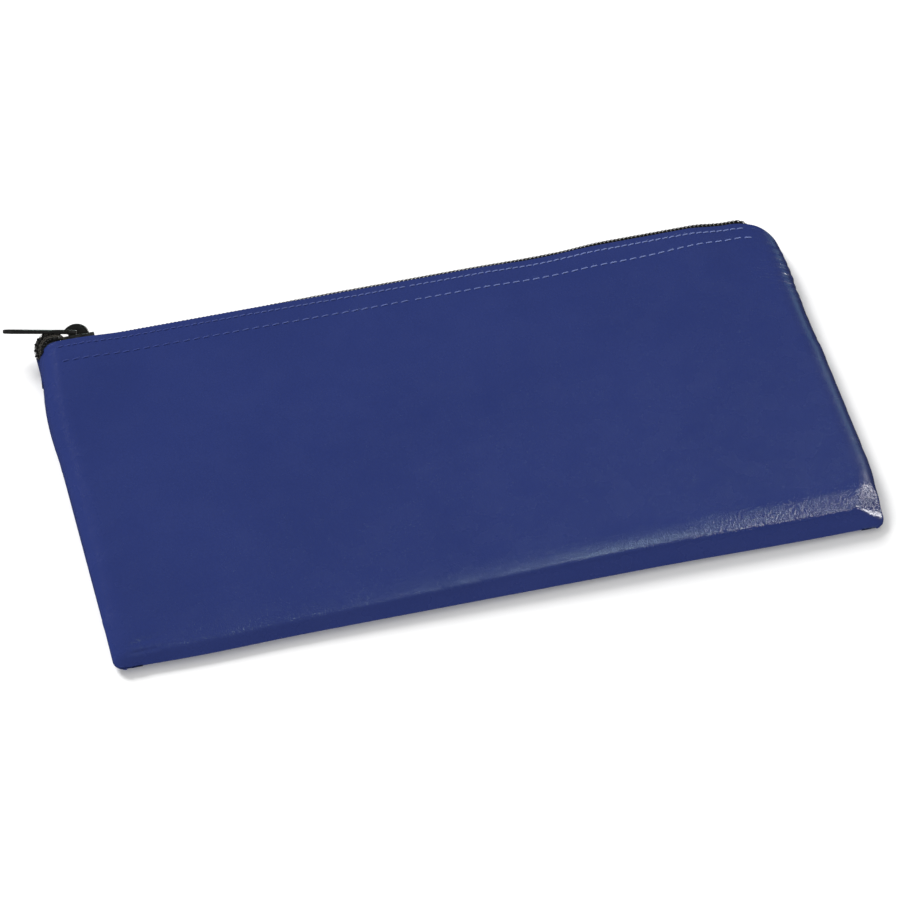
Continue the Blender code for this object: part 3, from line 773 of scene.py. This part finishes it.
def back_rows():
    """(y, z, lift) of the back panel's outer face: fold, flat underside, lip, and turned-in hem."""
    rows = [(FOLD_Y + distance, 0.0, lift) for distance, lift in fold_wall(UNDER_ROUND, 16)]
    lip_y, lip_z = lip_middle()
    start = FOLD_Y + UNDER_ROUND
    count = int((lip_y - start) / (2 * ROW_STEP))
    rows += [(y, 0.0, 1.0) for y in np.linspace(start, lip_y, count + 1)[1:]]
    around = [math.radians(95) * i / 12 for i in range(1, 13)]
    rows += [
        (lip_y + LIP_RADIUS * math.sin(a), lip_z - LIP_RADIUS * math.cos(a), 1.0) for a in around
    ]
    top_y, top_z = rows[-1][:2]
    turn = [math.pi * i / 6 for i in range(1, 7)]
    rows += [
        (top_y - HEM_TURN * (1 - math.cos(a)), top_z + HEM_TURN * math.sin(a), 1.0) for a in turn
    ]
    inside = LIP_RADIUS - 2 * HEM_TURN
    around = [math.radians(95) * (1 - i / 8) for i in range(1, 9)]
    rows += [(lip_y + inside * math.sin(a), lip_z - inside * math.cos(a), 1.0) for a in around]
    back = [HEM_DEPTH * i / 6 for i in range(1, 7)]
    return np.array(rows + [(lip_y - b, 2 * HEM_TURN, 1.0) for b in back])


def make_back_panel():
    rows, cols = back_rows(), side_columns()
    y, low, lift_y = (rows[:, i][:, None] for i in range(3))
    x, lift_x, roll = (cols[:, i][None, :] for i in range(3))
    y, x = np.broadcast_arrays(y, x)
    world_y = shaped_y(x, y, roll)
    apart = np.maximum(smooth_step(y, FOLD_Y, FOLD_Y + 6 * MM), 1 - lift_x)
    seam = seam_height(x, y) - (SEAM_ROLL + 0.02 * MM) * apart
    z = seam + (low - seam) * lift_x * lift_y
    z = z - roll * apart
    ripple = noise_over(x, world_y, 30 * MM, 7 * MM, 8.0, 3)
    from_side = np.maximum(SEAM_X - np.abs(x), 0)
    z = z + 0.25 * MM * np.abs(ripple) * np.exp(-from_side / (8 * MM)) * (lift_x * lift_y)
    points = np.stack([drawn_in(x, y), world_y, z], 2)
    cloth = np.stack([x, y, 0 * x], 2)
    points, cloth = points[:, ::-1], cloth[:, ::-1]
    normals = grid_normals(points)
    skin = thick_sheet("vinyl_back", points, normals, VINYL, cloth, [VINYL_SKIN, BACKING])
    finish_piece(skin, ["back_panel"], "bag")
    flat_size(points)


# ---- the zipper


def smooth_path(points, steps):
    """A Catmull-Rom curve through rows of numbers."""
    points = np.asarray(points, float)
    ends = (2 * points[:1] - points[1:2], 2 * points[-1:] - points[-2:-1])
    held = np.concatenate([ends[0], points, ends[1]])
    t = np.linspace(0, 1, steps, endpoint=False)[:, None]
    parts = []
    for a, b, c, d in zip(held, held[1:], held[2:], held[3:]):
        squared, cubed = a - 2.5 * b + 2 * c - d / 2, 1.5 * (b - c) + (d - a) / 2
        parts.append(b + (c - a) * t / 2 + squared * t**2 + cubed * t**3)
    return np.concatenate(parts + [points[-1:]])


def left_turn():
    """Distance past LEFT_TURN_X, and the chain's place, out direction and way ahead there."""
    starts = [CHAIN_ORIGIN + (LEFT_TURN_X + ahead, 0, 0) for ahead in (4 * MM, 0)]
    on_line = [np.concatenate([place, AXIS_OUT]) for place in starts]
    chosen = [np.concatenate([np.array(place) * MM, out]) for place, out in LEFT_TURN]
    curve = smooth_path(on_line + chosen, PATH_STEPS)[PATH_STEPS:]
    place, out = curve[:, :3], curve[:, 3:]
    gone = np.concatenate([[0], np.cumsum(np.linalg.norm(np.diff(place, axis=0), axis=1))])
    return gone, place, out, -np.gradient(place, axis=0)


TURN = left_turn()


def chain_frame(x):
    """The chain's centre, its out direction and its back direction at each x, as (n, 3) arrays."""
    lifted = 0.3 * MM * smooth_step(x, -60 * MM, -25 * MM) - 0.25 * MM * bell(x, 46 * MM, 14 * MM)
    bow = (lifted + BOW * smooth_step(x, *BOW_RISE)) * (1 - smooth_step(x, *BOW_FALL))
    centre = CHAIN_ORIGIN + x[:, None] * (1, 0, 0) + bow[:, None] * AXIS_OUT
    out = np.tile(AXIS_OUT, (x.size, 1))
    ahead = np.tile((1.0, 0, 0), (x.size, 1))

    angle = np.clip((x - RIGHT_TURN_X) / RIGHT_TURN_RADIUS, 0, RIGHT_TURN)
    rest = np.maximum(x - RIGHT_TURN_X - RIGHT_TURN_RADIUS * RIGHT_TURN, 0)
    along = RIGHT_TURN_RADIUS * np.sin(angle) + rest * np.cos(angle)
    down = RIGHT_TURN_RADIUS * (1 - np.cos(angle)) + rest * np.sin(angle)
    right = angle > 0
    centre[right, 0] = RIGHT_TURN_X + along[right]
    centre[right] -= down[right, None] * AXIS_OUT
    out[right] = np.cos(angle[right, None]) * AXIS_OUT + np.sin(angle[right, None]) * (1, 0, 0)
    ahead[right] = np.cos(angle[right, None]) * (1, 0, 0) - np.sin(angle[right, None]) * AXIS_OUT

    left = x < LEFT_TURN_X
    gone = LEFT_TURN_X - x[left]
    for values, known in zip((centre, out, ahead), TURN[1:]):
        for i in range(3):
            values[left, i] = np.interp(gone, TURN[0], known[:, i])
    back = np.cross(out, ahead)
    back /= np.linalg.norm(back, axis=1, keepdims=True)
    out = np.cross(ahead, back)
    out /= np.linalg.norm(out, axis=1, keepdims=True)
    return centre, out, back


def to_world(local):
    """Points in the zipper's frame, as points in the row frame. The ends turn the corners."""
    flat = np.asarray(local, float).reshape(-1, 3)
    centre, out, back = chain_frame(flat[:, 0])
    return (centre + flat[:, 1:2] * back + flat[:, 2:3] * out).reshape(np.shape(local))


def tape_section(length, side):
    """(y, z) and outward normal of a tape's top face that far from its inner edge."""
    start, radius = FRONT_BEND if side < 0 else BACK_BEND
    turn = math.pi / 2 - CHAIN_TILT if side < 0 else math.pi / 2 + CHAIN_TILT
    flat = start - TAPE_INNER_EDGE
    angle = np.clip((length - flat) / radius, 0, turn)
    run = np.maximum(length - flat - radius * turn, 0)
    reach = radius + TAPE / 2
    y = np.minimum(length, flat) + TAPE_INNER_EDGE + reach * np.sin(angle) + run * np.cos(angle)
    z = TAPE_Z + TAPE / 2 - reach * (1 - np.cos(angle)) - run * np.sin(angle)
    return side * y, z, flat + radius * turn + TAPE_RUN


def tape_length(x, full):
    """The tape's run into the bag is trimmed away where the chain turns the corners."""
    left = smooth_step(x, LEFT_TURN_X - 1 * MM, LEFT_TURN_X + 4 * MM)
    right = 1 - smooth_step(x, RIGHT_TURN_X - 3 * MM, RIGHT_TURN_X + 1 * MM)
    return TAPE_TUCK + (full - TAPE_TUCK) * left * right


def chain_stations(start, end, step=2.0 * MM, fine=0.4 * MM):
    """x along the chain, closer together where the ends turn the corners."""
    inner = (LEFT_TURN_X + 5 * MM, RIGHT_TURN_X - 3 * MM)
    edges = [start, max(start, inner[0]), min(end, inner[1]), end]
    stations = [np.array([start])]
    for a, b, size in zip(edges[:-1], edges[1:], (fine, step, fine)):
        if b > a:
            stations.append(np.linspace(a, b, max(1, round((b - a) / size)) + 1)[1:])
    return np.concatenate(stations)


def make_tape(name, side, start, end, nodes, body=None, rims=(True, True)):
    x = chain_stations(start, end)
    share = np.linspace(0, 1, 25)
    full = tape_section(0.0, side)[2]
    length = tape_length(x, full)[None, :] * share[:, None]
    y, z, _ = tape_section(length, side)
    selvedge = 0.08 * MM * np.sin(2 * np.pi * x / (1.25 * MM))[None, :] * (share[:, None] > 0.99)
    local = np.stack([np.broadcast_to(x, y.shape), y + side * selvedge, z], 2)
    points = to_world(local)
    cloth = np.stack([local[..., 0], length, 0 * length], 2)
    if side < 0:
        points, cloth = points[::-1], cloth[::-1]
    normals = grid_normals(points)
    closed = (True, True, *rims)
    tape = thick_sheet(name, points, normals, TAPE, cloth, [TAPE_CLOTH], closed)
    finish_piece(tape, nodes, body)


def coil_path(side, start, end, phase, drop=0.0):
    """One monofilament wound round the filler cord: one turn for each tooth."""
    steps = 18
    count = int((end - start) / COIL_PITCH)
    turn = np.arange(count * steps + 1) / steps
    angle = 2 * np.pi * turn
    middle_y, half_y = sum(COIL_Y) / 2, (COIL_Y[1] - COIL_Y[0]) / 2 - COIL_WIRE
    middle_z, half_z = (sum(COIL_Z) - drop) / 2, (COIL_Z[1] - drop - COIL_Z[0]) / 2 - COIL_WIRE
    flatten = 1 / np.maximum(np.abs(np.cos(angle)), np.abs(np.sin(angle))) ** 0.45
    y = side * (middle_y + half_y * np.clip(-np.cos(angle) * flatten, -1, 1))
    z = middle_z + half_z * np.clip(np.sin(angle) * flatten, -1, 1)
    x = start + COIL_PITCH * (turn + phase - 0.10 * np.sin(angle) / np.pi)
    return to_world(np.stack([x, y, z], 1))


def coil_stitch_path(side, y, start, end, drop=0.0):
    """The chain's own thread, which dips between the coil's legs, deeper on the lower coil."""
    x = np.arange(start, end, COIL_PITCH / 8)
    wave = np.abs(np.sin(np.pi * (x - start) / COIL_PITCH))
    z = COIL_Z[1] - COIL_SEAM_SINK * drop - 0.22 * MM + 0.30 * MM * wave
    sway = 0.10 * MM * np.sin(2 * np.pi * (x - start) / COIL_PITCH)
    return to_world(np.stack([x, 0 * x + side * y + sway, z], 1))


def straight_path(side, y, z, start, end):
    x = chain_stations(start, end)
    return to_world(np.stack([x, 0 * x + side * y, 0 * x + z], 1))


def make_coil(name, side, start, end, phase, drop, nodes, cord_node, body=None):
    """A coil with the cord that it is wound on and the two threads that sew it to its tape."""
    front_or_back, _, hand = name.partition(" ")
    ending = "_" + hand if hand else ""
    wire = coil_path(side, start, end, phase, drop)
    coil = tubes(f"zip_{front_or_back}_coil{ending}", [wire], COIL_WIRE, 8, COIL_PLASTIC)
    finish_piece(coil, nodes, body)
    core = straight_path(side, *CORD_PLACE, start, end)
    cord = tubes(f"zip_{front_or_back}_cord{ending}", [core], CORD_RADIUS, 8, CORD_YARN)
    finish_piece(cord, [cord_node], body)
    seams = [coil_stitch_path(side, y, start, end, drop) for y in COIL_SEAMS]
    sewn_name = f"zip_{front_or_back}_coil_thread{ending}"
    sewn = tubes(sewn_name, seams, COIL_SEAM_THREAD, 6, COIL_SEWING)
    finish_piece(sewn, [], body)


def make_zipper():
    left, right = CHAIN_ENDS
    for hand, start, end in (("left", left, 0.0), ("right", 0.0, right)):
        rims = (hand == "left", hand == "right")
        tape_nodes = [f"front_tape_{hand}_end", "front_tape"]
        coil_nodes = [f"front_coil_{hand}_end", "front_coil"]
        make_tape(f"zip_front_tape_{hand}", -1, start, end, tape_nodes, None, rims)
        make_coil(f"front {hand}", -1, start, end, 0.0, 0.0, coil_nodes, "front_filler_cord")
    make_tape("zip_back_tape", 1, left, right, ["back_tape"], "bag")
    make_coil("back", 1, left, right, 0.5, BACK_COIL_DROP, ["back_coil"], "back_filler_cord", "bag")


# ---- the sewing


def stitch_path(surface, start, end, seed):
    """One stitch that comes up through the vinyl, lies on it, and goes down again."""
    share = np.linspace(0, 1, 9)
    x = start + (end - start) * share
    height = THREAD * 0.75 - (2.6 * THREAD) * (np.abs(2 * share - 1) ** 6)
    aside = STITCH_SLANT * (share - 0.5) + 0.09 * MM * noise.noise(Vector((seed, 0.3, 7)))
    return surface(x, aside, height)


def stitch_row(surface, ends, pitch=STITCH, gap=STITCH_GAP):
    """A row of stitches as paths. surface(along, aside, height) gives points."""
    paths = []
    for i in range(int((ends[1] - ends[0]) / pitch)):
        seed = i * 0.37
        uneven = 0.18 * MM * noise.noise(Vector((seed, 5.1, 2)))
        start = ends[0] + i * pitch + gap / 2 + uneven
        paths.append(stitch_path(surface, start, start + pitch - gap, seed))
    return paths


def height_on(points, x, y):
    """Height of a grid's upper face under x and y, from its nearest rows and columns."""
    found = []
    columns = points[points.shape[0] // 2, :, 0]
    for a, b in zip(x, y):
        column = points[:, np.argmin(np.abs(columns - a))]
        top = column[: np.argmax(column[:, 1])]
        found.append(np.interp(b, top[:, 1], top[:, 2]))
    return np.array(found)


def make_front_sewing(points):
    rows = (
        ("edge", lambda x: EDGE_ROW + 0 * x, EDGE_STITCH, EDGE_GAP),
        ("hem", hem_row, STITCH, STITCH_GAP),
    )
    for word, back, pitch, gap in rows:

        def surface(along, aside, height):
            y = stitch_row_line(along, back(along)) + aside
            return np.stack([along, y, height_on(points, along, y) + height], 1)

        for hand, ends in (("left", (ROW_ENDS[0], 0)), ("right", (0.2 * MM, ROW_ENDS[1]))):
            row = stitch_row(surface, ends, pitch, gap)
            piece = tubes(f"sewing_front_{word}_{hand}", row, THREAD, 8, SEWING)
            finish_piece(piece, [f"front_{word}_stitch"])


def make_back_sewing():
    lip_y, lip_z = lip_middle()
    angle = math.radians(58)

    def on_lip(along, aside, height):
        reach = LIP_RADIUS + height
        y = lip_y + reach * math.sin(angle) - corner_cut(along) + aside
        return np.stack([along, y, lip_z - reach * math.cos(angle)], 1)

    def inside(along, aside, height):
        y = 0 * along + MOUTH_EDGE_Y - 3 * MM - corner_cut(along) + aside
        return np.stack([along, y, 2 * HEM_TURN + height], 1)

    ends = (ROW_ENDS[0] + 3 * MM, ROW_ENDS[1])
    for word, surface in (("edge", on_lip), ("hem", inside)):
        piece = tubes(f"sewing_back_{word}", stitch_row(surface, ends), THREAD, 8, SEWING)
        finish_piece(piece, [f"back_{word}_stitch"], "bag")
    for side, word in ((-1, "left"), (1, "right")):

        def on_allowance(along, aside, height):
            x = 0 * along + side * (SEAM_X - 3 * MM) + aside
            return np.stack([x, along, SEAM_Z - 0.6 * MM - height], 1)

        row = stitch_row(on_allowance, (FOLD_Y + 10 * MM, 50 * MM))
        piece = tubes(f"sewing_seam_{word}", row, THREAD, 8, SEWING)
        finish_piece(piece, [f"{word}_seam_stitch"], "bag")


# ---- the metal parts


def crown_outline(axes, angle):
    """(x, z) on the crown's half ellipse, from its middle at the slider's top face."""
    return axes[0] * np.cos(angle), axes[1] * np.sin(angle)


def make_crown():
    """The slider's crown: an arch with rounded edges, and side plates with a hole for the bar."""
    middle_x = JOINTS["tab_swing"]["pos_m"][0]
    verts, faces = [], []

    def add_grid(grid, closed):
        """Adds rows of ring points as faces. closed joins the last row to the first."""
        first, (rows, count) = len(verts), grid.shape[:2]
        verts.extend(grid.reshape(-1, 3).tolist())
        for i in range(rows if closed else rows - 1):
            for j in range(count):
                ring = (first + i * count, first + (i + 1) % rows * count)
                after = (j + 1) % count
                faces.append((ring[0] + j, ring[0] + after, ring[1] + after, ring[1] + j))
        if not closed:
            faces.append(tuple(range(first + count - 1, first - 1, -1)))
            faces.append(tuple(range(first + (rows - 1) * count, first + rows * count)))

    turn = np.linspace(-0.08, math.pi + 0.08, 41)
    section = [(0, -1), (0.25, -1), (0.6, -0.97), (0.88, -0.86), (1, -0.62), (1, 0.62)]
    section += [(0.88, 0.86), (0.6, 0.97), (0.25, 1), (0, 1), (0, 0.5), (0, -0.5)]
    arch = np.empty((len(turn), len(section), 3))
    for j, (out, wide) in enumerate(section):
        axes = [low + (high - low) * out for low, high in zip(CROWN_INSIDE, CROWN_OUTSIDE)]
        arch[:, j, 0], arch[:, j, 2] = crown_outline(axes, turn)
        arch[:, j, 1] = wide * CROWN_HALF
    add_grid(arch, False)

    turn = 2 * math.pi * np.arange(48) / 48
    centre_z = TAB_BAR_Z - SLIDER_TOP
    across, up = np.cos(turn), np.sin(turn)
    a = (across / CROWN_INSIDE[0]) ** 2 + (up / CROWN_INSIDE[1]) ** 2
    b = centre_z * up / CROWN_INSIDE[1] ** 2
    reach = (-b + np.sqrt(b * b - a * ((centre_z / CROWN_INSIDE[1]) ** 2 - 1))) / a
    floor_reach = (centre_z - 0.02 * MM) / np.maximum(-up, 1e-6)
    reach = np.minimum(reach * 1.03, floor_reach)
    for side in (-1, 1):
        plate = np.empty((6, 48, 3))
        hole = BAR_HOLE + 0 * turn
        near, far = (side * w for w in CROWN_PLATE)
        rounded = side * (CROWN_PLATE[1] - 0.1 * MM)
        loops = ((hole, near), (reach, near), (reach, far), (hole + 0.12 * MM, far))
        loops += ((hole + 0.03 * MM, (rounded + far) / 2), (hole, rounded))
        for i, (size, wide) in enumerate(loops):
            plate[i, :, 0], plate[i, :, 2] = size * across, centre_z + size * up
            plate[i, :, 1] = wide
        add_grid(plate if side > 0 else plate[::-1], True)

    local = np.array(verts) + (middle_x, 0, SLIDER_TOP)
    crown = make_piece("slider_crown", to_world(local), faces, [COATED], None, local)
    bevel = crown.modifiers.new("soft_edges", "BEVEL")
    bevel.width, bevel.segments, bevel.limit_method = 0.04 * MM, 2, "ANGLE"
    finish_piece(crown, ["slider_cap"], "slider")


def finish_metal():
    """Coats the metal pieces that come straight from the frame."""
    for name, material in (("slider_body", COATED), ("pull_tab", COATED), ("lock_pawl", SPRING)):
        data = NODES[name].data
        data.materials.clear()
        data.materials.append(material)


# ---- floor, light and camera


def area_light(name, place, target, size, power, colour):
    lamp = bpy.data.lights.new(name, "AREA")
    lamp.shape = "RECTANGLE"
    lamp.size = lamp.size_y = size
    lamp.energy = power
    lamp.color = colour
    obj = bpy.data.objects.new(name, lamp)
    obj.location = place
    obj.rotation_euler = (Vector(target) - Vector(place)).to_track_quat("-Z", "Y").to_euler()
    bpy.context.scene.collection.objects.link(obj)
    return obj


def make_stage():
    """The white floor. It is left out of reflections, as the photograph's sides stay dark."""
    sides = ((-1, -1), (1, -1), (1, 1), (-1, 1))
    corners = [(FLOOR_SIZE * a, FLOOR_SIZE * b, 0) for a, b in sides]
    floor = make_piece("floor", corners, [(0, 1, 2, 3)], [floor_material()])
    floor.location.z = -0.02 * MM
    floor.visible_glossy = False


def make_light():
    world = bpy.data.worlds.new("studio")
    bpy.context.scene.world = world
    world.use_nodes = True
    tree = world.node_tree
    background = tree.nodes["Background"]
    path = tree.nodes.new("ShaderNodeLightPath")
    strength = tree.nodes.new("ShaderNodeMapRange")
    strength.inputs["To Min"].default_value = WORLD_LIGHT
    strength.inputs["To Max"].default_value = WORLD_REFLECTION
    tree.links.new(path.outputs["Is Glossy Ray"], strength.inputs["Value"])
    tree.links.new(strength.outputs["Result"], background.inputs["Strength"])
    background.inputs["Color"].default_value = (1, 1, 1, 1)
    for light in SOFT_LIGHTS:
        lamp = area_light(*light)
        lamp.visible_glossy = False
        lamp.data.use_shadow = lamp.name == "key"
    for light in GLINT_LIGHTS:
        lamp = area_light(*light)
        lamp.visible_diffuse = False


def make_camera():
    data = bpy.data.cameras.new("camera")
    data.lens = CAMERA_LENS
    data.sensor_width = CAMERA_SENSOR
    data.clip_start, data.clip_end = 0.1, 20
    camera = bpy.data.objects.new("camera", data)
    bpy.context.scene.collection.objects.link(camera)
    level = math.cos(CAMERA_ELEVATION)
    sideways, forwards = math.sin(CAMERA_AZIMUTH) * level, -math.cos(CAMERA_AZIMUTH) * level
    back = Vector((sideways, forwards, math.sin(CAMERA_ELEVATION)))
    camera.location = CAMERA_TARGET + back * CAMERA_DISTANCE
    camera.rotation_euler = back.to_track_quat("Z", "Y").to_euler()
    bpy.context.scene.camera = camera
    bpy.context.scene.view_settings.view_transform = "Standard"


front_face = make_front_panel()
make_back_panel()
make_zipper()
make_front_sewing(front_face)
make_back_sewing()
make_crown()
finish_metal()
make_stage()
make_light()
make_camera()
